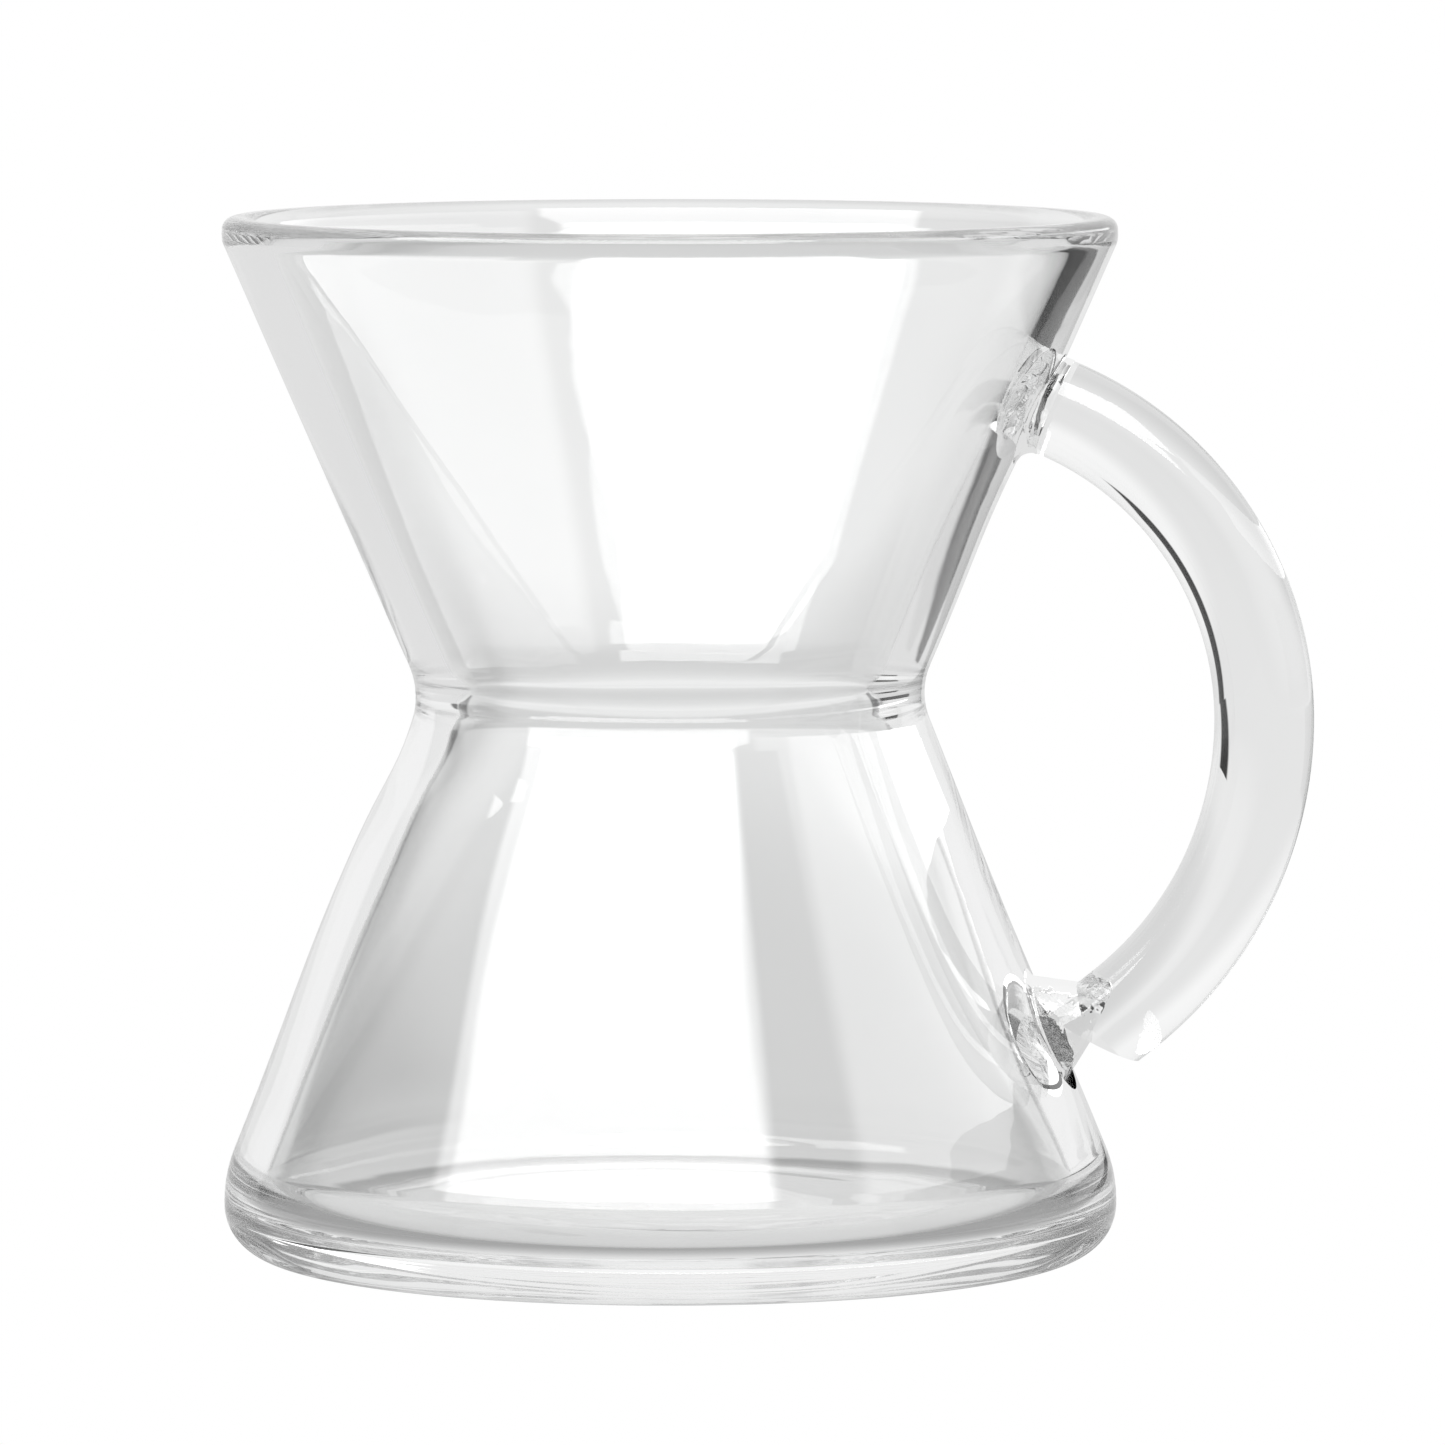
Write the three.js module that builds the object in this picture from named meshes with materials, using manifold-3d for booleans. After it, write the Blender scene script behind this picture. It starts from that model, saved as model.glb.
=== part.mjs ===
// Hourglass pour-over cup in clear borosilicate glass. The upper cone is the dripper that takes a filter, the
// lower cone holds the brew, and a bent glass rod is fused on as the handle.
// Millimetres, +Z up. The origin is on the cup's axis, in the plane it stands on; the handle lies along +X.

import * as THREE from "three";
import { mergeVertices } from "three/addons/utils/BufferGeometryUtils.js";
import Module from "manifold-3d";

const wasm = await Module();
wasm.setup();

const degrees = THREE.MathUtils.degToRad;

// Cup: the two cones, their common wall and the base.
const HEIGHT = 102.9;
const WALL = 3.8;
const UPPER_SLOPE = degrees(23.6); // the upper cone's lean out from the vertical
const LOWER_SLOPE = degrees(22.2); // the lower cone's lean in towards the waist
const WAIST = new THREE.Vector2(24.7, 55.9); // where the outsides of the two cones would meet
const WAIST_OUTER_ROUND = 7;
const WAIST_INNER_ROUND = 4.5;
const RIM_RADIUS = 44.2; // of the short upright land round the rim
const RIM_OUTER_ROUND = 1.3;
const RIM_INNER_ROUND = 1.8;
const RIM_LAND_ROUND = 2; // from the upper cone to the land
const FOOT_RADIUS = 44.3; // of the short upright land at the heel, below the lower cone
const FOOT_ROUND = 5; // from the land to the flat base
const HEEL_ROUND = 13.5; // from the lower cone to the land
const FLOOR_HEIGHT = 4.2; // the glass under the cup's inside, at the edge of the floor
const FLOOR_ROUND = 3.5;
const DOME_RADIUS = 31; // the floor's middle is a low dome, which meets the flat edge in a soft ring
const DOME_RISE = 1;
const DOME_RINGS = 4;
const ROUND_STEP = degrees(13); // the turn between two points of a rounded corner
const CUP_SIDES = 64;

// Handle: a round rod, bent to two arcs that meet at the point farthest from the cup. Below the lower arc it
// runs straight to a mitred elbow.
const ROD_RADIUS = 4.9;
const REACH = new THREE.Vector2(59.1, 53.7); // the rod's centreline at that point
const UPPER_BEND = 33;
const LOWER_BEND = 36.9;
const UPPER_TURN = degrees(66); // from REACH up to the rod's end
const LOWER_TURN = degrees(51); // from REACH down to the straight
const STRAIGHT = 4.2;
const END_SPARE = 4; // rod beyond each end, to be trimmed off
const ROD_SIDES = 24;
const ROD_STEPS = 36;

// Welds: the bits of glass that join the rod's ends to the cup.
const STUB_SLOPE = degrees(7); // the lower weld's own fall, from the cup out to the elbow
const WELD_SPREAD = 0.9; // how far a weld spreads past the rod where it meets the cup
const WELD_FILLET = 1.1; // how much of its length that takes
const WELD_SIDES = 32;
const GAP = 0.3; // between a weld and its neighbours, which touch in glass

const upperCentre = new THREE.Vector2(REACH.x - UPPER_BEND, REACH.y);
const lowerCentre = new THREE.Vector2(REACH.x - LOWER_BEND, REACH.y);
const upperEnd = onArc(upperCentre, UPPER_BEND, UPPER_TURN);
const upperFall = Math.PI / 2 - UPPER_TURN; // the rod's slope at its upper end
const lowerRise = Math.PI / 2 - LOWER_TURN; // and along the straight
const elbow = onArc(lowerCentre, LOWER_BEND, -LOWER_TURN).sub(
  new THREE.Vector2(STRAIGHT, 0).rotateAround(new THREE.Vector2(), lowerRise),
);
const mitreLean = -(lowerRise - STUB_SLOPE) / 2; // a face's lean is how far its top tips out along +X

function onArc(centre, radius, angle) {
  return new THREE.Vector2(centre.x + radius * Math.cos(angle), centre.y + radius * Math.sin(angle));
}

// The radius of the cones' outsides at a height. inset moves the surface in towards the axis, along its normal.
function coneRadius(z, inset) {
  const slope = z > WAIST.y ? UPPER_SLOPE : LOWER_SLOPE;
  return WAIST.x + Math.abs(z - WAIST.y) * Math.tan(slope) - inset / Math.cos(slope);
}

// Where the two cones meet when both are moved in by inset.
function waistCorner(inset) {
  const shift = inset / Math.cos((UPPER_SLOPE + LOWER_SLOPE) / 2);
  const tilt = (UPPER_SLOPE - LOWER_SLOPE) / 2;
  return new THREE.Vector2(WAIST.x - shift * Math.cos(tilt), WAIST.y + shift * Math.sin(tilt));
}

// An outline through corners [x, y, round], each with a round of 0 left sharp.
function rounded(corners) {
  return corners.flatMap(([x, y, round], i) => {
    const corner = new THREE.Vector2(x, y);
    if (!round) return [corner];
    const back = new THREE.Vector2(...corners[i - 1].slice(0, 2)).sub(corner).normalize();
    const ahead = new THREE.Vector2(...corners[i + 1].slice(0, 2)).sub(corner).normalize();
    const half = Math.acos(back.dot(ahead)) / 2;
    const middle = back.clone().add(ahead).normalize();
    const centre = corner.clone().addScaledVector(middle, round / Math.sin(half));
    const start = corner.clone().addScaledVector(back, round / Math.tan(half)).sub(centre);
    const turn = (Math.PI - 2 * half) * Math.sign(back.cross(ahead)) * -1;
    const steps = Math.max(2, Math.ceil(Math.abs(turn) / ROUND_STEP));
    return Array.from({ length: steps + 1 }, (_, k) =>
      start.clone().rotateAround(new THREE.Vector2(), (turn * k) / steps).add(centre),
    );
  });
}

// An outline of [radius, height] turned about +Z. It starts and ends on the axis.
function turned(outline, sides) {
  return new THREE.LatheGeometry(outline, sides).rotateX(Math.PI / 2);
}

function solid(geometry) {
  const bare = geometry.clone();
  bare.deleteAttribute("normal");
  bare.deleteAttribute("uv");
  const merged = mergeVertices(bare, 1e-4);
  return new wasm.Manifold(
    new wasm.Mesh({
      numProp: 3,
      vertProperties: merged.attributes.position.array,
      triVerts: new Uint32Array(merged.index.array),
    }),
  );
}

function geometryOf(body) {
  const { vertProperties, triVerts } = body.getMesh();
  return new THREE.BufferGeometry()
    .setAttribute("position", new THREE.BufferAttribute(vertProperties, 3))
    .setIndex(new THREE.BufferAttribute(triVerts, 1));
}

// A block whose face passes through point and leans by lean, with the block itself beyond that face when side is
// 1 and on the cup's side of it when side is -1. It trims the rod and the welds.
function trimmer(point, lean, side) {
  const size = 40;
  const block = new THREE.BoxGeometry(size, size, size);
  block.translate((side * size) / 2, 0, 0);
  block.rotateY(lean);
  block.translate(point.x, 0, point.y);
  return solid(block);
}

// The cup's outside, moved out by grow, from the axis at its foot to the axis at its rim: a weld is cut to fit it.
function cupEnvelope(grow) {
  const waist = waistCorner(-grow);
  const outline = rounded([
    [0, 0, 0],
    [coneRadius(0, -grow), 0, 0],
    [waist.x, waist.y, WAIST_OUTER_ROUND - grow],
    [coneRadius(HEIGHT, -grow), HEIGHT, 0],
    [0, HEIGHT, 0],
  ]);
  return solid(turned(outline, CUP_SIDES));
}

function cup() {
  const outerWaist = waistCorner(0);
  const innerWaist = waistCorner(WALL);
  const heel = WAIST.y - (FOOT_RADIUS - WAIST.x) / Math.tan(LOWER_SLOPE);
  const lip = WAIST.y + (RIM_RADIUS - WAIST.x) / Math.tan(UPPER_SLOPE);
  const wall = rounded([
    [0, 0, 0],
    [FOOT_RADIUS, 0, FOOT_ROUND],
    [FOOT_RADIUS, heel, HEEL_ROUND],
    [outerWaist.x, outerWaist.y, WAIST_OUTER_ROUND],
    [RIM_RADIUS, lip, RIM_LAND_ROUND],
    [RIM_RADIUS, HEIGHT, RIM_OUTER_ROUND],
    [coneRadius(HEIGHT, WALL), HEIGHT, RIM_INNER_ROUND],
    [innerWaist.x, innerWaist.y, WAIST_INNER_ROUND],
    [coneRadius(FLOOR_HEIGHT, WALL), FLOOR_HEIGHT, FLOOR_ROUND],
    [0, FLOOR_HEIGHT, 0],
  ]);
  const dome = Array.from({ length: DOME_RINGS + 1 }, (_, k) => {
    const turn = (k / DOME_RINGS) * (Math.PI / 2);
    const reach = 1 - k / DOME_RINGS;
    return new THREE.Vector2(DOME_RADIUS * reach, FLOOR_HEIGHT + DOME_RISE * Math.sin(turn));
  });
  return turned([...wall.slice(0, -1), ...dome], CUP_SIDES);
}

// The rod's centreline, from above its upper end to beyond the elbow.
class RodLine extends THREE.Curve {
  constructor() {
    super();
    const lowest = new THREE.Vector2(END_SPARE, 0).rotateAround(new THREE.Vector2(), lowerRise);
    const end = elbow.clone().sub(lowest);
    this.path = new THREE.Path()
      .absarc(upperCentre.x, upperCentre.y, UPPER_BEND, UPPER_TURN + END_SPARE / UPPER_BEND, 0, true)
      .absarc(lowerCentre.x, lowerCentre.y, LOWER_BEND, 0, -LOWER_TURN, true)
      .lineTo(end.x, end.y);
  }

  getPoint(t) {
    const { x, y } = this.path.getPoint(t);
    return new THREE.Vector3(x, 0, y);
  }
}

function rod() {
  const section = new THREE.Shape().absarc(0, 0, ROD_RADIUS, 0, 2 * Math.PI);
  const bent = new THREE.ExtrudeGeometry(section, {
    steps: ROD_STEPS,
    curveSegments: ROD_SIDES,
    extrudePath: new RodLine(),
  });
  return geometryOf(
    solid(bent).subtract(trimmer(upperEnd, upperFall, -1)).subtract(trimmer(elbow, mitreLean, -1)),
  );
}

// A weld: a turned bit of glass that reaches depth back from the middle of the rod's end, far enough to enter the
// wall before it is cut to fit. fall is its own slope on the way out, lean the rod end's lean.
function weld(rodEnd, depth, fall, lean) {
  const base = ROD_RADIUS + WELD_SPREAD;
  const outline = rounded([
    [0, -2 * depth, 0],
    [base, -2 * depth, 0],
    [base, -depth, 0],
    [ROD_RADIUS, WELD_FILLET - depth, WELD_FILLET / 2],
    [ROD_RADIUS, depth, 0],
    [0, depth, 0],
  ]);
  const bit = turned(outline, WELD_SIDES);
  bit.rotateY(Math.PI / 2 + fall);
  bit.translate(rodEnd.x, 0, rodEnd.y);
  const face = rodEnd.clone().sub(new THREE.Vector2(GAP, 0).rotateAround(new THREE.Vector2(), -lean));
  return geometryOf(solid(bit).subtract(cupEnvelope(GAP)).subtract(trimmer(face, lean, 1)));
}

// How far a rod end stands off the cup's wall.
function standOff(rodEnd) {
  return rodEnd.x - coneRadius(rodEnd.y, 0);
}

const glass = (tint) => new THREE.MeshStandardMaterial({
  color: tint,
  roughness: 0.04,
  metalness: 0,
  transparent: true,
  opacity: 0.35,
});

function piece(name, geometry, material) {
  const mesh = new THREE.Mesh(geometry, material);
  mesh.name = name;
  return mesh;
}

const dripper = new THREE.Group();
dripper.add(
  piece("glass_body", cup(), glass(0xf3f6f6)),
  piece("handle_rod", rod(), glass(0xeff3f4)),
  piece("upper_handle_weld", weld(upperEnd, standOff(upperEnd), upperFall, upperFall), glass(0xe9eeef)),
  piece("lower_handle_weld", weld(elbow, standOff(elbow), STUB_SLOPE, mitreLean), glass(0xe9eeef)),
);

export default dripper;
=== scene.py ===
import math

import bpy
import numpy as np
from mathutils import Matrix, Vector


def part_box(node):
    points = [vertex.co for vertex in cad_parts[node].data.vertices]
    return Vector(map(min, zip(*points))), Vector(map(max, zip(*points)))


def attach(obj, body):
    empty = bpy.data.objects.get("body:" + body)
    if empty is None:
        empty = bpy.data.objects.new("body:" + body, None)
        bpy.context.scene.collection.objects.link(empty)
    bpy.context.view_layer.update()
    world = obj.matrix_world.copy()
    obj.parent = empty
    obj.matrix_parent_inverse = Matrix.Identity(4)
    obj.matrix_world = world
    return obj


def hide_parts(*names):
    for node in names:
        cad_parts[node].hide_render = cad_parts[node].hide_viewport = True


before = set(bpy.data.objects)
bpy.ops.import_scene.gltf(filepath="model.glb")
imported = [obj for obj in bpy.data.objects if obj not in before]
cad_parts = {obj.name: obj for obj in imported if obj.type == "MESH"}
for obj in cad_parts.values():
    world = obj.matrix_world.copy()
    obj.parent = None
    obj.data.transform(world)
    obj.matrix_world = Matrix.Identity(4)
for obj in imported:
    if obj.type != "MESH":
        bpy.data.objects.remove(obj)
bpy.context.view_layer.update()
mm = 0.001
cupLow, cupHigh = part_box("glass_body")
print("frame: cup", round((cupHigh.z - cupLow.z) / mm, 1), "mm high")


class Wire:
    # one socket of a node tree: sums and products of wires add their Math nodes
    def __init__(self, tree, socket):
        self.tree, self.socket = tree, socket

    def __add__(self, other):
        return self.tree.math("ADD", self, other)

    def __radd__(self, other):
        return self.tree.math("ADD", other, self)

    def __sub__(self, other):
        return self.tree.math("SUBTRACT", self, other)

    def __rsub__(self, other):
        return self.tree.math("SUBTRACT", other, self)

    def __mul__(self, other):
        return self.tree.math("MULTIPLY", self, other)

    def __rmul__(self, other):
        return self.tree.math("MULTIPLY", other, self)

    def __truediv__(self, other):
        return self.tree.math("DIVIDE", self, other)

    def __rtruediv__(self, other):
        return self.tree.math("DIVIDE", other, self)

    def __lt__(self, other):
        return self.tree.math("LESS_THAN", self, other)

    def __gt__(self, other):
        return self.tree.math("GREATER_THAN", self, other)


class Tree:
    # the node tree of a material or a world
    def __init__(self, owner):
        owner.use_nodes = True
        self.tree = owner.node_tree
        self.tree.nodes.clear()

    def node(self, kind, settings=None, sockets=None, out=0):
        # settings come first, because they decide which sockets there are
        made = self.tree.nodes.new(kind)
        for key, value in (settings or {}).items():
            setattr(made, key, value)
        for key, value in (sockets or {}).items():
            place = made.inputs[key] if isinstance(key, int) else next(
                s for s in made.inputs if key in (s.identifier, s.name)
            )
            if isinstance(value, Wire):
                self.tree.links.new(value.socket, place)
            else:
                place.default_value = value
        if out is None:
            return made
        socket = made.outputs[out] if isinstance(out, int) else next(
            s for s in made.outputs if out in (s.identifier, s.name)
        )
        return Wire(self, socket)

    def math(self, operation, *values):
        return self.node("ShaderNodeMath", {"operation": operation}, dict(enumerate(values)))

    def dot(self, vector, axis):
        settings = {"operation": "DOT_PRODUCT"}
        return self.node("ShaderNodeVectorMath", settings, {0: vector, 1: axis}, out="Value")

    def tint(self, share, low, high):
        sockets = {"Factor_Float": share, "A_Color": (*low, 1), "B_Color": (*high, 1)}
        return self.node("ShaderNodeMix", {"data_type": "RGBA"}, sockets, out="Result_Color")

    def ease(self, value, low, high):
        settings = {"interpolation_type": "SMOOTHSTEP", "clamp": True}
        return self.node("ShaderNodeMapRange", settings, {"Value": value, "From Min": low, "From Max": high})


def filleted(corners, turnStep=5.0, longest=1.4):
    # an outline through [x, z, radius] corners: arcs at the corners, and no stretch longer than longest
    points = []
    for i, (x, z, radius) in enumerate(corners):
        corner = np.array([x, z], float)
        if radius == 0:
            points.append(corner)
            continue
        back = np.array(corners[i - 1][:2]) - corner
        ahead = np.array(corners[i + 1][:2]) - corner
        back, ahead = back / np.hypot(*back), ahead / np.hypot(*ahead)
        half = math.acos(back @ ahead) / 2
        middle = (back + ahead) / np.hypot(*(back + ahead))
        centre = corner + middle * radius / math.sin(half)
        start = corner + back * radius / math.tan(half) - centre
        end = corner + ahead * radius / math.tan(half) - centre
        first = math.atan2(start[1], start[0])
        turn = (math.atan2(end[1], end[0]) - first + math.pi) % (2 * math.pi) - math.pi
        steps = max(4, math.ceil(abs(turn) / math.radians(turnStep)))
        for k in range(steps + 1):
            angle = first + turn * k / steps
            points.append(centre + radius * np.array([math.cos(angle), math.sin(angle)]))
    line = [points[0]]
    for point in points[1:]:
        gap = np.hypot(*(point - line[-1]))
        if gap < 1e-6:
            continue
        parts = max(1, math.ceil(gap / longest))
        start = line[-1]
        line += [start + (point - start) * k / parts for k in range(1, parts + 1)]
    return np.array(line)


def meshPiece(name, points, faces, materials, slots=None, sharp=()):
    mesh = bpy.data.meshes.new(name)
    used = np.unique(np.concatenate([np.asarray(f).ravel() for f in faces]))
    renumber = {int(old): new for new, old in enumerate(used)}
    faces = [[renumber[int(i)] for i in face] for face in faces]
    mesh.from_pydata((np.asarray(points)[used] * mm).tolist(), [], faces)
    mesh.polygons.foreach_set("use_smooth", [True] * len(faces))
    for material in materials:
        mesh.materials.append(material)
    if slots is not None:
        mesh.polygons.foreach_set("material_index", slots)
    if len(sharp):
        edges = {frozenset((renumber[a], renumber[b])) for a, b in sharp}
        flags = [frozenset(e.vertices) in edges for e in mesh.edges]
        mesh.attributes.new("sharp_edge", "BOOLEAN", "EDGE").data.foreach_set("value", flags)
    mesh.validate()
    mesh.update()
    piece = bpy.data.objects.new(name, mesh)
    bpy.context.scene.collection.objects.link(piece)
    return piece


def slowWaves(seed, size, turns, rises, count=14, tall=102.3):
    # a smooth unevenness over the cup: turns is the most waves round it, rises the most in its height, tall
    dice = np.random.default_rng(seed)
    aside = dice.integers(0, turns + 1, count)
    up = dice.uniform(-rises, rises, count)
    phase = dice.uniform(0, 2 * math.pi, count)
    share = 1 / (1 + 0.35 * np.hypot(aside, up))
    share = size * share / math.sqrt((share**2).sum() / 2)

    def waves(angle, height):
        lean = 2 * math.pi * np.asarray(height)[..., None] / tall
        return (share * np.cos(aside * np.asarray(angle)[..., None] + up * lean + phase)).sum(-1)

    return waves


glass = {
    "ior": 1.47,
    "clear": (0.985, 0.987, 0.986),
    "smoky": (0.965, 0.968, 0.967),
    "roughness": 0.0,
}


def clearGlass(name, tintScale, bumpDepth, makeGrain):
    # melted glass: a faint drift of tint, and a fire-polished surface that is not quite even
    material = bpy.data.materials.new(name)
    tree = Tree(material)
    place = tree.node("ShaderNodeTexCoord", out="Object")
    cloud = tree.node("ShaderNodeTexNoise", {}, {"Vector": place, "Scale": tintScale, "Detail": 2.0})
    colour = tree.tint(tree.ease(cloud, 0.35, 0.65), glass["smoky"], glass["clear"])
    grain = makeGrain(tree, place)
    normal = tree.node("ShaderNodeBump", {}, {"Strength": 1.0, "Distance": bumpDepth * mm, "Height": grain})
    shader = tree.node("ShaderNodeBsdfPrincipled", {}, {
        "Base Color": colour,
        "Roughness": glass["roughness"],
        "IOR": glass["ior"],
        "Transmission Weight": 1.0,
        "Normal": normal,
    })
    tree.node("ShaderNodeOutputMaterial", {}, {"Surface": shader}, out=None)
    return material


def blownGrain(tree, place):
    # long soft ripples round the cup and a little orange peel
    stretched = tree.node("ShaderNodeMapping", {}, {"Vector": place, "Scale": (1.0, 1.0, 0.35)})
    ripple = tree.node("ShaderNodeTexNoise", {}, {"Vector": stretched, "Scale": 60.0, "Detail": 1.0})
    peel = tree.node("ShaderNodeTexNoise", {}, {"Vector": place, "Scale": 420.0, "Detail": 0.0})
    return ripple + 0.04 * peel


def drawnGrain(tree, place):
    # cords drawn out along the rod
    along = tree.node("ShaderNodeUVMap", {"uv_map": "drawn"})
    stretched = tree.node("ShaderNodeMapping", {}, {"Vector": along, "Scale": (14.0, 0.8, 1.0)})
    return tree.node("ShaderNodeTexNoise", {}, {"Vector": stretched, "Scale": 1.0, "Detail": 2.0})


def meltedGrain(tree, place):
    # swirls where the hot glass was pressed on
    swirl = {"Vector": place, "Scale": 260.0, "Detail": 2.0, "Distortion": 1.6}
    return tree.node("ShaderNodeTexNoise", {}, swirl)


# how finely the tint drifts, how many millimetres the surface is uneven, and in what pattern
bodyGlass = clearGlass("bodyGlass", 30.0, 0.05, blownGrain)
rodGlass = clearGlass("rodGlass", 60.0, 0.03, drawnGrain)
weldGlass = clearGlass("weldGlass", 160.0, 0.25, meltedGrain)

fused = bpy.data.materials.new("fusedContact")  # where two pieces are one piece of glass
fusedTree = Tree(fused)
fusedTree.node("ShaderNodeOutputMaterial", {}, {
    "Surface": fusedTree.node("ShaderNodeBsdfTransparent", {}, {"Color": (1, 1, 1, 1)}),
}, out=None)
print("glass: materials made")

# millimetres and degrees, as in the cup and the welds
handle = {
    "radius": 4.9,
    "reach": (59.09, 53.7),  # the centreline's outermost point: out from the cup's axis, and up
    "upperBend": 33.0,
    "lowerBend": 36.9,
    "upperTurn": 68.0,
    "lowerTurn": 51.0,
    "straight": 4.2,  # between the lower bend and the elbow
    "stubFall": 7.0,
    "mitreReach": 7.0,  # how far from the elbow the rings start to lean over
    "columns": 56,
    "ringReach": 0.8,
    "capRings": (0.6, 0.3),
}
reach = np.array(handle["reach"])
upperCentre = reach - [handle["upperBend"], 0]
lowerCentre = reach - [handle["lowerBend"], 0]
tailRise = math.radians(90 - handle["lowerTurn"])
mitreTurn = (tailRise + math.radians(handle["stubFall"])) / 2


def heading(angle):
    return np.array([math.cos(angle), math.sin(angle)])


def rodLine():
    # points and headings of the rod's centreline, from the upper weld to the elbow
    points, ways = [], []
    for centre, bend, first, last in (
        (upperCentre, handle["upperBend"], math.radians(handle["upperTurn"]), 0.0),
        (lowerCentre, handle["lowerBend"], 0.0, -math.radians(handle["lowerTurn"])),
    ):
        steps = math.ceil(abs(first - last) * bend / handle["ringReach"])
        for k in range(steps):
            angle = first + (last - first) * k / steps
            points.append(centre + bend * heading(angle))
            ways.append(heading(angle - math.pi / 2))
    steps = math.ceil(handle["straight"] / handle["ringReach"])
    start = lowerCentre + handle["lowerBend"] * heading(-math.radians(handle["lowerTurn"]))
    for k in range(steps + 1):
        points.append(start - heading(tailRise) * handle["straight"] * k / steps)
        ways.append(-heading(tailRise))
    return np.array(points), np.array(ways)


linePoints, lineWays = rodLine()
upperEnd, elbow = linePoints[0], linePoints[-1]

cup = {
    "height": 102.9,
    "wall": 3.8,
    "upperSlope": 23.6,
    "lowerSlope": 22.2,
    "waist": (24.7, 55.9),  # where the two cones' outsides would meet: radius and height
    "waistOutside": 7.0,
    "waistInside": 4.5,
    "rimRadius": 44.2,
    "rimOutside": 1.3,
    "rimInside": 1.8,
    "rimLand": 2.0,
    "footRadius": 44.28,
    "footRound": 5.0,
    "heelRound": 13.5,
    "floor": 4.2,
    "floorCorner": 3.5,
    "dome": 1.0,
    "domeRadius": 31.0,
    "floorRing": 0.05,
    "ringSpacing": 8.5,
    # where the hand-blown outside strays from round: degrees round from the handle, height, spread round,
    # spread up, and how far out
    "strays": [
        [190.0, 33.0, 50.0, 13.0, 0.55],
        [190.0, 50.0, 45.0, 5.0, -0.6],
        [10.0, 38.0, 60.0, 16.0, -0.25],
        [8.0, 74.0, 40.0, 9.0, -0.45],
    ],
    "columns": 208,
    "windowMargin": 1.6,  # round a weld's foot
    "windowRings": (0.3, 0.6, 0.85, 1.0),
    "padRings": (0.8, 0.6, 0.4, 0.2),
}
outsideWaves = slowWaves(3, 0.045, 7, 3)
insideWaves = slowWaves(11, 0.06, 8, 4)


def stray(angle, height):
    out = np.zeros(np.broadcast(angle, height).shape)
    for middle, level, wide, tall, amount in cup["strays"]:
        off = (np.asarray(angle) - math.radians(middle) + math.pi) % (2 * math.pi) - math.pi
        out = out + amount * np.exp(-((off / math.radians(wide)) ** 2) - ((height - level) / tall) ** 2)
    return out


def coneRadius(height, inset=0.0):
    slope = math.radians(cup["upperSlope"] if height > cup["waist"][1] else cup["lowerSlope"])
    return cup["waist"][0] + abs(height - cup["waist"][1]) * math.tan(slope) - inset / math.cos(slope)


def waistCorner(inset):
    upper, lower = math.radians(cup["upperSlope"]), math.radians(cup["lowerSlope"])
    shift = inset / math.cos((upper + lower) / 2)
    tilt = (upper - lower) / 2
    return cup["waist"][0] - shift * math.cos(tilt), cup["waist"][1] + shift * math.sin(tilt)


def landLevel(radius, slope):
    # where a cone meets the upright land at its end
    rise = (radius - cup["waist"][0]) / math.tan(math.radians(slope))
    return cup["waist"][1] + rise * (1 if slope == cup["upperSlope"] else -1)


outline = filleted([
    [0.8, 0, 0],
    [cup["footRadius"], 0, cup["footRound"]],
    [cup["footRadius"], landLevel(cup["footRadius"], cup["lowerSlope"]), cup["heelRound"]],
    [*waistCorner(0), cup["waistOutside"]],
    [cup["rimRadius"], landLevel(cup["rimRadius"], cup["upperSlope"]), cup["rimLand"]],
    [cup["rimRadius"], cup["height"], cup["rimOutside"]],
    [coneRadius(cup["height"], cup["wall"]), cup["height"], cup["rimInside"]],
    [*waistCorner(cup["wall"]), cup["waistInside"]],
    [coneRadius(cup["floor"], cup["wall"]), cup["floor"], cup["floorCorner"]],
    [0.8, cup["floor"], 0],
])
outRows = int(np.argmax(outline[:, 1])) + 1
outside = outline[:outRows]
wallRise = np.where(outside[:, 1] > 1.0)[0]


def outerRadius(angle, height):
    # the outside of the two cones at any angle and height
    plain = np.interp(height, outside[wallRise, 1], outside[wallRise, 0])
    return plain + stray(angle, height) + outsideWaves(angle, height)


def onWall(angle, height, lift=0.0):
    radius = outerRadius(angle, height) + lift
    return np.stack([radius * np.cos(angle), radius * np.sin(angle), height + 0 * angle], -1)


def floorLift(radius, angle):
    # the floor's dome and the rings left by the tool that pressed it
    share = np.clip(1 - radius / cup["domeRadius"], 0, 1)
    dome = cup["dome"] * np.sin(share * math.pi / 2)
    swirl = 1.3 * np.sin(2 * angle + 0.4) + 0.7 * np.sin(3 * angle)
    rings = cup["floorRing"] * np.cos(2 * math.pi * radius / cup["ringSpacing"] + swirl)
    return dome + rings * np.clip(radius / 8, 0, 1) * np.clip((38 - radius) / 6, 0, 1)


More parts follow.
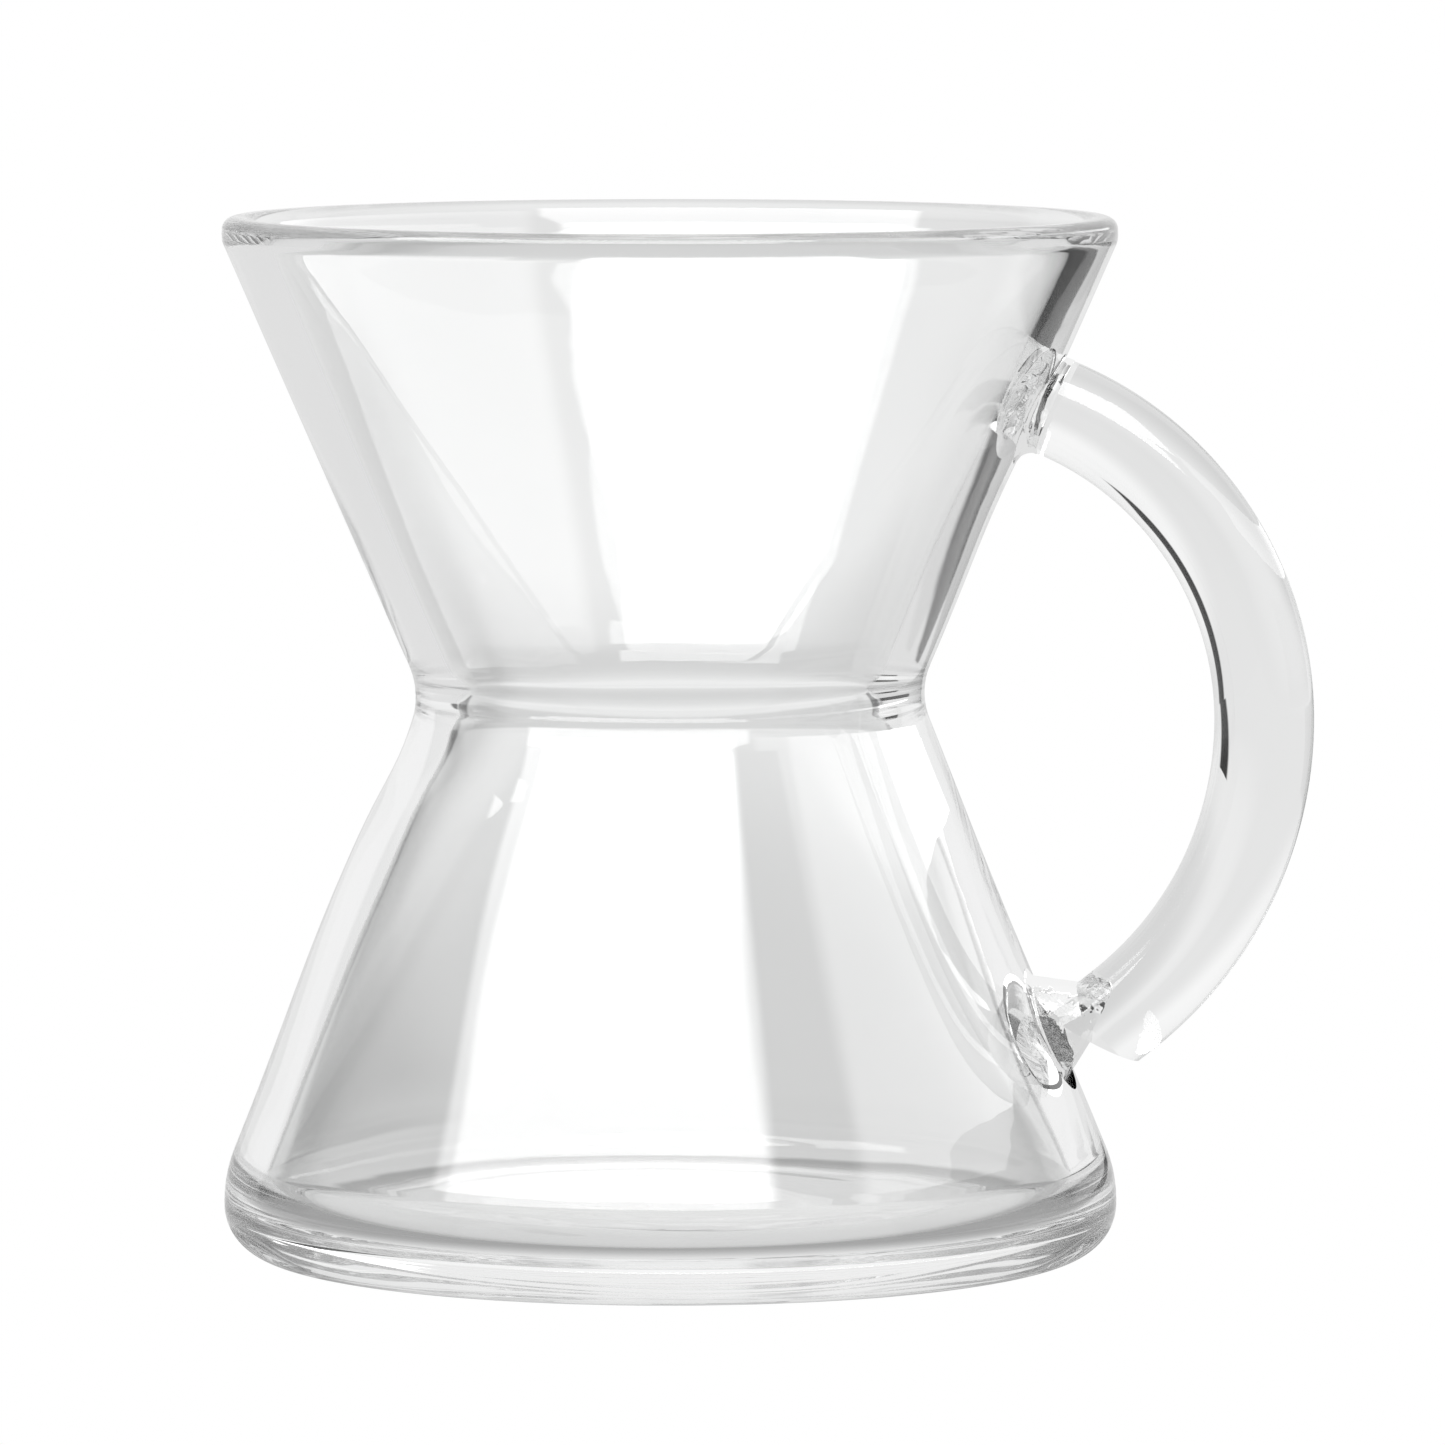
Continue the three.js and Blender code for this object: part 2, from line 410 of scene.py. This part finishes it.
def cupPoints():
    angles = 2 * math.pi * np.arange(cup["columns"]) / cup["columns"]
    angle, row = np.meshgrid(angles, np.arange(len(outline)))
    radius, height = outline[row, 0], outline[row, 1]
    # the outside's straying carries through to the inside, as in a blown wall, and fades at the heel and rim
    firm = np.clip((height - 4) / 12, 0, 1) * np.clip((cup["height"] - height) / 8, 0, 1)
    rimFade = np.clip((cup["height"] - 0.3 - height) / 6, 0, 1)
    push = np.where(row < outRows, rimFade, firm) * (stray(angle, height) + outsideWaves(angle, height))
    push = np.where((row < outRows) & (height < 1.0), 0.0, push)
    push = push + np.where(row >= outRows, firm * insideWaves(angle, height), 0.0)
    isFloor = (row >= outRows) & (height < cup["floor"] + 3)
    lift = np.where(isFloor, floorLift(radius, angle), 0.0)
    radius = radius + push * np.clip(radius / 12, 0, 1)
    return np.stack([radius * np.cos(angle), radius * np.sin(angle), height + lift], -1)


def footRing(end, fall, width, around):
    # where lines running back from a rod end, width away from its axis, meet the wall
    way = -heading(-fall)
    up = np.array([-math.sin(-fall), math.cos(-fall)])
    across = np.asarray(width) * np.cos(around)
    above = np.asarray(width) * np.sin(around)
    clear, inside = np.full(len(around), -6.0), np.full(len(around), 14.0)
    for _ in range(40):  # halves the stretch each time
        far = (clear + inside) / 2
        x = end[0] + up[0] * above + way[0] * far
        z = end[1] + up[1] * above + way[1] * far
        angle = np.arctan2(across, x)
        hit = np.hypot(x, across) < outerRadius(angle, z)
        inside, clear = np.where(hit, far, inside), np.where(hit, clear, far)
    return angle, z, far


# fall is how steeply the rod or its stub drops away from the wall, lean how far its end face is tilted
welds = {
    "upper": {
        "node": "upper_handle_weld",
        "end": upperEnd,
        "fall": math.radians(90 - handle["upperTurn"]),
        "lean": 0.0,
        "filletTop": 0.35,
        "filletBottom": 1.8,
        "ringStep": 0.1,
    },
    "lower": {
        "node": "lower_handle_weld",
        "end": elbow,
        "fall": math.radians(handle["stubFall"]),
        "lean": mitreTurn,
        "filletTop": 0.7,
        "filletBottom": 0.7,
        "ringStep": 0.06,
    },
}
fusing = {
    "touch": 0.02,  # between contact faces, so that they never lie in one another
    "lip": 0.12,
    "least": 0.25,  # the thinnest that a weld gets
    "filletSteps": 9,
    "capRings": (0.3, 0.6),
    "padRings": (0.66, 0.33),
}


def filletOf(weld, around):
    share = (1 - np.sin(around)) / 2
    return weld["filletTop"] + (weld["filletBottom"] - weld["filletTop"]) * share**2


def buildCup():
    grid = cupPoints()
    rows, columns = grid.shape[:2]
    points = list(grid.reshape(-1, 3))
    number = np.arange(rows * columns).reshape(rows, columns)
    skipped = set()
    faces, slots = [], []
    for weld in welds.values():
        # a window in the grid round the weld's foot, filled with rings that close in on it
        angle, level, _ = footRing(weld["end"], weld["fall"], 0.0, np.zeros(1))
        spread = handle["radius"] + max(weld["filletTop"], weld["filletBottom"]) + cup["windowMargin"]
        low = int(np.argmin(abs(outside[:, 1] - (level[0] - spread)) + 99 * (outside[:, 1] < 1)))
        high = int(np.argmin(abs(outside[:, 1] - (level[0] + spread))))
        side = math.ceil(spread / coneRadius(level[0]) / (2 * math.pi / columns))
        border = [(low, c) for c in range(-side, side)]
        border += [(r, side) for r in range(low, high)]
        border += [(high, c) for c in range(side, -side, -1)]
        border += [(r, -side) for r in range(high, low, -1)]
        for r in range(low, high):
            for c in range(-side, side):
                skipped.add((r, c % columns))
        edge = np.array([number[r, c % columns] for r, c in border])
        corners = np.array([points[i] for i in edge])
        way = heading(math.pi / 2 - weld["fall"])
        end = np.array(weld["end"])
        around = np.arctan2((corners[:, [0, 2]] - end) @ way, corners[:, 1])
        weld["around"] = around
        foot = handle["radius"] + filletOf(weld, around)
        footAngle, footLevel, _ = footRing(end, weld["fall"], foot, around)
        cornerAngle = np.arctan2(corners[:, 1], corners[:, 0])
        rings = [edge]
        for share in cup["windowRings"]:
            ringAngle = cornerAngle + (footAngle - cornerAngle) * share
            ringLevel = corners[:, 2] + (footLevel - corners[:, 2]) * share
            rings.append(np.arange(len(points), len(points) + len(edge)))
            points += list(onWall(ringAngle, ringLevel))
        outer = len(rings) - 1
        for share in cup["padRings"]:
            ringAngle, ringLevel, _ = footRing(end, weld["fall"], foot * share, around)
            rings.append(np.arange(len(points), len(points) + len(edge)))
            points += list(onWall(ringAngle, ringLevel))
        for k in range(len(rings) - 1):
            for i in range(len(edge)):
                j = (i + 1) % len(edge)
                faces.append([rings[k][i], rings[k][j], rings[k + 1][j], rings[k + 1][i]])
                slots.append(int(k >= outer))
        points += list(onWall(angle, level))
        for i in range(len(edge)):
            faces.append([rings[-1][i], rings[-1][(i + 1) % len(edge)], len(points) - 1])
            slots.append(1)
    for r in range(rows - 1):
        for c in range(columns):
            if (r, c) in skipped:
                continue
            d = (c + 1) % columns
            faces.append([number[r, c], number[r, d], number[r + 1, d], number[r + 1, c]])
            slots.append(0)
    bottom, top = len(points), len(points) + 1
    points += [np.array([0, 0, 0.0]), np.array([0, 0, grid[-1, :, 2].mean()])]
    for c in range(columns):
        d = (c + 1) % columns
        faces.append([number[0, d], number[0, c], bottom])
        faces.append([number[-1, c], number[-1, d], top])
        slots += [0, 0]
    return meshPiece("blown_body", points, faces, [bodyGlass, fused], slots)


blownBody = buildCup()
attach(blownBody, "root")
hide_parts("glass_body")
print("cup:", len(blownBody.data.polygons), "faces")


def discFaces(ring, rings, middle):
    faces = []
    for k in range(len(rings)):
        outer = ring if k == 0 else rings[k - 1]
        for i in range(len(outer)):
            j = (i + 1) % len(outer)
            faces.append([outer[i], outer[j], rings[k][j], rings[k][i]])
    last = rings[-1]
    faces += [[last[i], last[(i + 1) % len(last)], middle] for i in range(len(last))]
    return faces


def buildRod():
    columns = handle["columns"]
    around = 2 * math.pi * np.arange(columns) / columns
    travel = np.concatenate([[0], np.cumsum(np.hypot(*np.diff(linePoints, axis=0).T))])
    left = travel[-1] - travel
    points, faces, slots, along = [], [], [], []
    for (x, z), way, far in zip(linePoints, lineWays, left):
        up = np.array([way[1], -way[0]])
        above = handle["radius"] * np.sin(around)
        # near the elbow the rings lean over until the last one lies in the mitre
        slip = above * math.tan(mitreTurn) * max(0.0, 1 - far / handle["mitreReach"])
        points += list(np.stack([
            x + up[0] * above + way[0] * slip,
            handle["radius"] * np.cos(around),
            z + up[1] * above + way[1] * slip,
        ], -1))
    number = np.arange(len(points)).reshape(-1, columns)
    for r in range(len(number) - 1):
        for c in range(columns):
            d = (c + 1) % columns
            faces.append([number[r, c], number[r + 1, c], number[r + 1, d], number[r, d]])
            slots.append(0)
            along.append([(c, r), (c, r + 1), (c + 1, r + 1), (c + 1, r)])
    sharp = []
    for ring, flip in ((number[0], False), (number[-1], True)):
        middle = np.mean([points[i] for i in ring], axis=0)
        inner = []
        for share in handle["capRings"]:
            inner.append(np.arange(len(points), len(points) + columns))
            points += [middle + (points[i] - middle) * share for i in ring]
        points.append(middle)
        caps = discFaces(ring, inner, len(points) - 1)
        faces += [face[::-1] for face in caps] if flip else caps
        slots += [1] * len(caps)
        along += [[(0, 0)] * len(face) for face in caps]
        sharp += [(int(ring[i]), int(ring[(i + 1) % columns])) for i in range(columns)]
    piece = meshPiece("bent_rod", points, faces, [rodGlass, fused], slots, sharp)
    drawn = piece.data.uv_layers.new(name="drawn")
    flat = [(c / columns, travel[r] / travel[-1]) for face in along for c, r in face]
    drawn.data.foreach_set("uv", np.array(flat, np.float32).ravel())
    return piece


def buildWeld(name, weld):
    around = weld["around"]
    count = len(around)
    end = np.array(weld["end"])
    fillet = filletOf(weld, around)
    way = -heading(-weld["fall"])
    up = heading(math.pi / 2 - weld["fall"])
    touch = fusing["touch"]
    points, rings = [], []

    def ringAt(width, far):
        rings.append(np.arange(len(points), len(points) + count))
        above, across = width * np.sin(around), width * np.cos(around)
        points.extend(np.stack([
            end[0] + up[0] * above + way[0] * far,
            across,
            end[1] + up[1] * above + way[1] * far,
        ], -1))

    face = np.full(count, handle["radius"])
    lean = -face * np.sin(around) * math.tan(weld["lean"])
    for share in fusing["capRings"]:
        ringAt(face * share, lean * share + touch)
    ringAt(face, lean + touch)
    rodSide = len(rings) - 1
    ringAt(face + weld["ringStep"], lean + touch + fusing["lip"])
    for share in np.linspace(0, 1, fusing["filletSteps"]):
        width = handle["radius"] + fillet * (1 - math.sqrt(max(0.0, 1 - share**2)))
        width = np.maximum(width, handle["radius"] + weld["ringStep"] * (1 - share))
        _, _, far = footRing(end, weld["fall"], width, around)
        ringAt(width, np.maximum(far - fillet * (1 - share) - touch, lean + touch + fusing["least"]))
    wallSide = len(rings) - 1
    for share in fusing["padRings"]:
        width = (handle["radius"] + fillet) * share
        _, _, far = footRing(end, weld["fall"], width, around)
        ringAt(width, far - touch)
    points.append(np.array([end[0] + way[0] * touch, 0, end[1] + way[1] * touch]))
    _, _, far = footRing(end, weld["fall"], 0.0, np.zeros(1))
    points.append(np.array([end[0] + way[0] * (far[0] - touch), 0, end[1] + way[1] * (far[0] - touch)]))
    faces, slots = [], []
    for k in range(len(rings) - 1):
        for i in range(count):
            j = (i + 1) % count
            faces.append([rings[k][i], rings[k][j], rings[k + 1][j], rings[k + 1][i]])
            slots.append(int(k < rodSide or k >= wallSide))
    for i in range(count):
        j = (i + 1) % count
        faces.append([rings[0][j], rings[0][i], len(points) - 2])
        faces.append([rings[-1][i], rings[-1][j], len(points) - 1])
        slots += [1, 1]
    sharp = []
    for ring in (rings[rodSide], rings[wallSide]):
        sharp += [(int(ring[i]), int(ring[(i + 1) % count])) for i in range(count)]
    return meshPiece(name, points, faces, [weldGlass, fused], slots, sharp)


bentRod = buildRod()
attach(bentRod, "root")
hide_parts("handle_rod")
for side, weld in welds.items():
    piece = buildWeld(side + "_weld", weld)
    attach(piece, "root")
    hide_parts(weld["node"])
print("handle: rod and welds made")

# degrees, metres from the floor's middle, and millimetres of lens
viewpoint = {
    "turn": 9.0,  # round to the right of straight ahead
    "distance": 1.1,
    "height": 0.1475,
    "tiltDown": 4.924,
    "aimRight": 0.27,
    "lens": 277.7,
    "along": 0.998,  # the camera's direction from the cup, along the table and up
    "up": 0.063,
}
turn = math.radians(viewpoint["turn"])
cameraSide = (math.sin(turn), -math.cos(turn), 0)
rightSide = (math.cos(turn), math.sin(turn), 0)
degrees = 180 / math.pi


def placeCamera():
    camera = bpy.data.objects.new("camera", bpy.data.cameras.new("camera"))
    bpy.context.scene.collection.objects.link(camera)
    camera.location = (
        viewpoint["distance"] * math.sin(turn),
        -viewpoint["distance"] * math.cos(turn),
        viewpoint["height"],
    )
    camera.rotation_euler = (
        math.radians(90 - viewpoint["tiltDown"]),
        0,
        turn - math.radians(viewpoint["aimRight"]),
    )
    camera.data.sensor_width = 36
    camera.data.lens = viewpoint["lens"]
    bpy.context.scene.camera = camera


# the glow of the room; each fade is the degrees round or up between which it changes
room = {
    "backdrop": 0.9,
    "backdropTop": 0.74,
    "backdropRise": (1.5, 4.5),
    "backdropFade": (44, 56),
    "sides": 0.4,
    "sidesLow": 0.6,
    "sidesFade": (8, 16),
    "ceiling": 0.92,
    "ceilingFade": (45, 75),
    "behindRod": (0.8, 0.97),
    "behindRodRise": (2, 14),
}
# soft boxes, placed by the way a wall has to face to mirror them: first and last degrees round from the
# camera, lowest and highest step above the base, corner, edge, level
softBoxes = {
    "lowKey": [-32.5, 14.0, -50, 163, 2, 1.0, 5.0],
    "lowFill": [27.0, 78.0, -50, 163, 2, 1.2, 1.7],
    "highKey": [-37.7, 10.5, 161, 900, 2, 0.8, 5.0],
    "highFill": [20.5, 78.0, 161, 450, 2, 1.5, 1.5],
}
boxSteps = {"base": 20, "perDegree": 60}  # a wall leans back 20 degrees at step 0, and 60 steps are a degree
boxTaper = {"about": -37.7, "from": 150.0, "to": 300.0, "spread": 0.17}  # the high key widens upwards
# a ray that has crossed fewer faces than the first has met one wall or the rod, and fewer than the second,
# two walls; the share is how much of a soft box such a ray still shows
faceCrossings = {"once": 2.5, "twice": 4.5}
boxShare = {"once": 1.0, "twice": 0.85, "later": 0.08}
# black and grey cards: first and last degrees round from the camera, lowest and highest degrees up, corner,
# edge, level; the table ones are painted shade, darker patches in the table's glow, with centimetres from
# the cup in the place of degrees up
cards = {
    "limbs": [[144, 155, -4, 24, 2, 1.2, 0.98], [-155, -144, -4, 24, 2, 1.2, 0.98]],
    "sides": [[-134, -56, -1, 17, 2, 2.0, 0.85], [60, 128, -1, 17, 2, 2.0, 0.85]],
    "besideRod": [-114, -50, -30, 80, 6, 4.0, 0.5],
    "behindLeft": [-168, -150, -12, 12, 4, 4.0, 0.2],
    "tableShadeLeft": [-168, -150, 15, 400, 4, 4.0, 0.2],
    "tableShadeByWeld": [104, 158, 24, 130, 2, 1.5, 0.9],
}
# a thin leaning pole, which draws the dark line along the inside of the handle
blackPole = {
    "stands": 132.5,
    "lean": 0.5,
    "halfWidth": 6.5,
    "edge": 1.5,
    "low": -10.0,
    "high": 29.0,
    "endFade": 2,
    "level": 0.98,
}


def patch(tree, bearing, above, first, last, low, high, corner, edge, level):
    # a rectangle with rounded corners and soft edges
    outAside = tree.math("ABSOLUTE", bearing - (first + last) / 2) - ((last - first) / 2 - corner)
    outAbove = tree.math("ABSOLUTE", above - (low + high) / 2) - ((high - low) / 2 - corner)
    outAside = tree.math("MAXIMUM", outAside, 0.0)
    outAbove = tree.math("MAXIMUM", outAbove, 0.0)
    far = tree.math("SQRT", outAside * outAside + outAbove * outAbove)
    return (1 - tree.ease(far, corner - edge, corner + edge)) * level


def pole(tree, bearing, above):
    far = tree.math("ABSOLUTE", bearing - blackPole["stands"] - above * blackPole["lean"])
    halfWidth, edge = blackPole["halfWidth"], blackPole["edge"]
    return (1 - tree.ease(far, halfWidth - edge, halfWidth + edge)) * blackPole["level"]


def rayPath(tree):
    # is the ray straight from the camera, and how many mirrorings and glass faces has it met
    path = tree.node("ShaderNodeLightPath", out=None)
    names = ("Is Camera Ray", "Glossy Depth", "Transmission Depth")
    return [Wire(tree, path.outputs[name]) for name in names]


def mirroredRoom(tree, azimuth, elevation):
    back = 1 - tree.ease(180 - tree.math("ABSOLUTE", azimuth), *room["backdropFade"])
    low = 1 - tree.ease(tree.math("ABSOLUTE", elevation), *room["sidesFade"])
    walls = room["sides"] + low * (room["sidesLow"] - room["sides"])
    level = walls + back * (room["backdrop"] - walls)
    level = level + tree.ease(elevation, *room["ceilingFade"]) * (room["ceiling"] - level)
    for card in cards["sides"]:
        level = level * (1 - patch(tree, azimuth, elevation, *card))
    return level


def mirroredBoxes(tree, toCamera, toRight, overhead):
    faceCamera = toCamera + viewpoint["along"]
    faceRound = tree.math("ARCTAN2", toRight, faceCamera) * degrees
    faceLevel = tree.math("SQRT", toRight * toRight + faceCamera * faceCamera)
    leanBack = tree.math("ARCTAN2", overhead + viewpoint["up"], faceLevel) * degrees
    step = (leanBack - boxSteps["base"]) * boxSteps["perDegree"]
    widening = tree.node("ShaderNodeMapRange", {"clamp": True}, {
        "Value": step, "From Min": boxTaper["from"], "From Max": boxTaper["to"],
    })
    tapered = (faceRound - boxTaper["about"]) / (1 + boxTaper["spread"] * widening) + boxTaper["about"]
    return (
        patch(tree, faceRound, step, *softBoxes["lowKey"])
        + patch(tree, faceRound, step, *softBoxes["lowFill"])
        + patch(tree, tapered, step, *softBoxes["highKey"])
        + patch(tree, faceRound, step, *softBoxes["highFill"])
    )


def behindRod(tree, azimuth, elevation):
    low, high, fade = blackPole["low"], blackPole["high"], blackPole["endFade"]
    poleEnds = tree.ease(elevation, low, low + fade) * (1 - tree.ease(elevation, high - fade, high))
    bottom, top = room["behindRod"]
    level = bottom + tree.ease(elevation, *room["behindRodRise"]) * (top - bottom)
    level = level * (1 - pole(tree, azimuth, elevation) * poleEnds)
    return level * (1 - patch(tree, azimuth, elevation, *cards["besideRod"]))


def behindCup(tree, azimuth, elevation):
    climb = tree.ease(elevation, *room["backdropRise"])
    level = room["backdrop"] + climb * (room["backdropTop"] - room["backdrop"])
    for card in (*cards["limbs"], cards["behindLeft"]):
        level = level * (1 - patch(tree, azimuth, elevation, *card))
    return level


def lightRoom():
    world = bpy.data.worlds.new("studio")
    bpy.context.scene.world = world
    tree = Tree(world)
    way = tree.node("ShaderNodeTexCoord", out="Generated")
    toCamera = tree.dot(way, cameraSide)
    toRight = tree.dot(way, rightSide)
    overhead = tree.dot(way, (0, 0, 1))
    azimuth = tree.math("ARCTAN2", toRight, toCamera) * degrees
    elevation = tree.math("ARCSINE", overhead) * degrees
    direct, mirrorings, crossings = rayPath(tree)
    once = crossings < faceCrossings["once"]
    twice = (crossings > faceCrossings["once"]) * (crossings < faceCrossings["twice"])
    shown = boxShare["later"] + (mirrorings < 1.5) * (once * boxShare["once"] + twice * boxShare["twice"])
    boxes = mirroredBoxes(tree, toCamera, toRight, overhead)
    mirrored = mirroredRoom(tree, azimuth, elevation) + boxes * shown
    through = once * behindRod(tree, azimuth, elevation) + (1 - once) * behindCup(tree, azimuth, elevation)
    level = tree.node("ShaderNodeMix", {"data_type": "FLOAT"}, {
        "Factor_Float": mirrorings > 0.5, "A_Float": through, "B_Float": mirrored,
    }, out="Result_Float")
    background = tree.node("ShaderNodeBackground", {}, {
        "Color": direct + (1 - direct) * level, "Strength": 1.0,
    })
    tree.node("ShaderNodeOutputWorld", {}, {"Surface": background}, out=None)


# the table's glow: what the camera sees straight on is white, and these are the levels in the glass, with
# the metres from the cup between which they change; the levels paint shadow on the table round the cup
table = {
    # painted shadow round the cup: the table darker near it, as seen through the cup's walls
    "near": 0.67,
    "far": 0.93,
    "spread": (0.12, 0.95),
    # painted shadow round the cup as seen through the rod: darker close to it
    "shadedTableThroughRod": (0.7, 0.86, 0.8),
    "shadedTableThroughRodSpreads": ((0.1, 0.24), (0.25, 0.6)),
    # the black pole's painted dark stripe on the table starts this far out from the cup
    "poleFrom": 0.3,
    "mirrored": 0.75,
    "footShadowLevel": 0.5,  # painted contact shadow: a dark ring on the table under the cup's heel
    "footShadow": ((0.034, 0.0405), (0.0465, 0.05)),
    "radius": 1.6,
    "sides": 96,
    "below": 0.0002,
}


def tableGlow():
    # the floor: white to the camera, with painted shadow in what the glass shows of it
    material = bpy.data.materials.new("paleFloor")
    tree = Tree(material)
    direct, mirrorings, crossings = rayPath(tree)
    bounced = mirrorings > 0.5
    once = crossings < faceCrossings["once"]
    spot = tree.node("ShaderNodeTexCoord", out="Object")
    fromCup = tree.node("ShaderNodeVectorMath", {"operation": "LENGTH"}, {0: spot}, out="Value")
    bearing = tree.math("ARCTAN2", tree.dot(spot, rightSide), tree.dot(spot, cameraSide)) * degrees
    # painted shadow: the table darker near the cup, as seen through the cup
    shadowedTableThroughCup = table["near"] + tree.ease(fromCup, *table["spread"]) * (table["far"] - table["near"])
    # painted shade: a darker patch of the table to the left behind the cup
    shadowedTableThroughCup = shadowedTableThroughCup * (1 - patch(tree, bearing, fromCup * 100, *cards["tableShadeLeft"]))
    close, middle, distant = table["shadedTableThroughRod"]
    nearSpread, farSpread = table["shadedTableThroughRodSpreads"]
    # painted shadow seen through the rod: the table darker close to the cup
    shadedTableThroughRod = close + tree.ease(fromCup, *nearSpread) * (middle - close)
    shadedTableThroughRod = shadedTableThroughRod + tree.ease(fromCup, *farSpread) * (distant - middle)
    # painted dark stripe: the black pole's line carried on across the table
    shadedTableThroughRod = shadedTableThroughRod * (1 - pole(tree, bearing, 0) * (fromCup > table["poleFrom"]))
    through = once * shadedTableThroughRod + (1 - once) * shadowedTableThroughCup
    # painted shade: a darker patch in the table as the glass mirrors it, beside the weld
    mirrored = table["mirrored"] * (1 - patch(tree, bearing, fromCup * 100, *cards["tableShadeByWeld"]))
    shade = bounced * mirrored + (1 - bounced) * through
    # painted contact shadow: a dark ring on the table round the heel
    shadowStart, shadowEnd = table["footShadow"]
    footShadow = tree.ease(fromCup, *shadowStart) * (1 - tree.ease(fromCup, *shadowEnd))
    shade = shade * (1 - (1 - table["footShadowLevel"]) * footShadow)
    glow = tree.node("ShaderNodeEmission", {}, {"Color": direct + (1 - direct) * shade, "Strength": 1.0})
    tree.node("ShaderNodeOutputMaterial", {}, {"Surface": glow}, out=None)
    return material


def layFloor():
    edge = []
    for i in range(table["sides"]):
        x, y = table["radius"] * heading(2 * math.pi * i / table["sides"])
        edge.append((x, y, -table["below"]))
    mesh = bpy.data.meshes.new("floor")
    mesh.from_pydata(edge, [], [list(range(table["sides"]))])
    mesh.materials.append(tableGlow())
    floor = bpy.data.objects.new("floor", mesh)
    bpy.context.scene.collection.objects.link(floor)


placeCamera()
lightRoom()
layFloor()

scene = bpy.context.scene
scene.view_settings.view_transform = "Standard"
scene.view_settings.look = "None"
scene.cycles.max_bounces = 64
scene.cycles.transmission_bounces = 64
scene.cycles.glossy_bounces = 64
scene.cycles.transparent_max_bounces = 24
print("studio: camera, light and floor set")
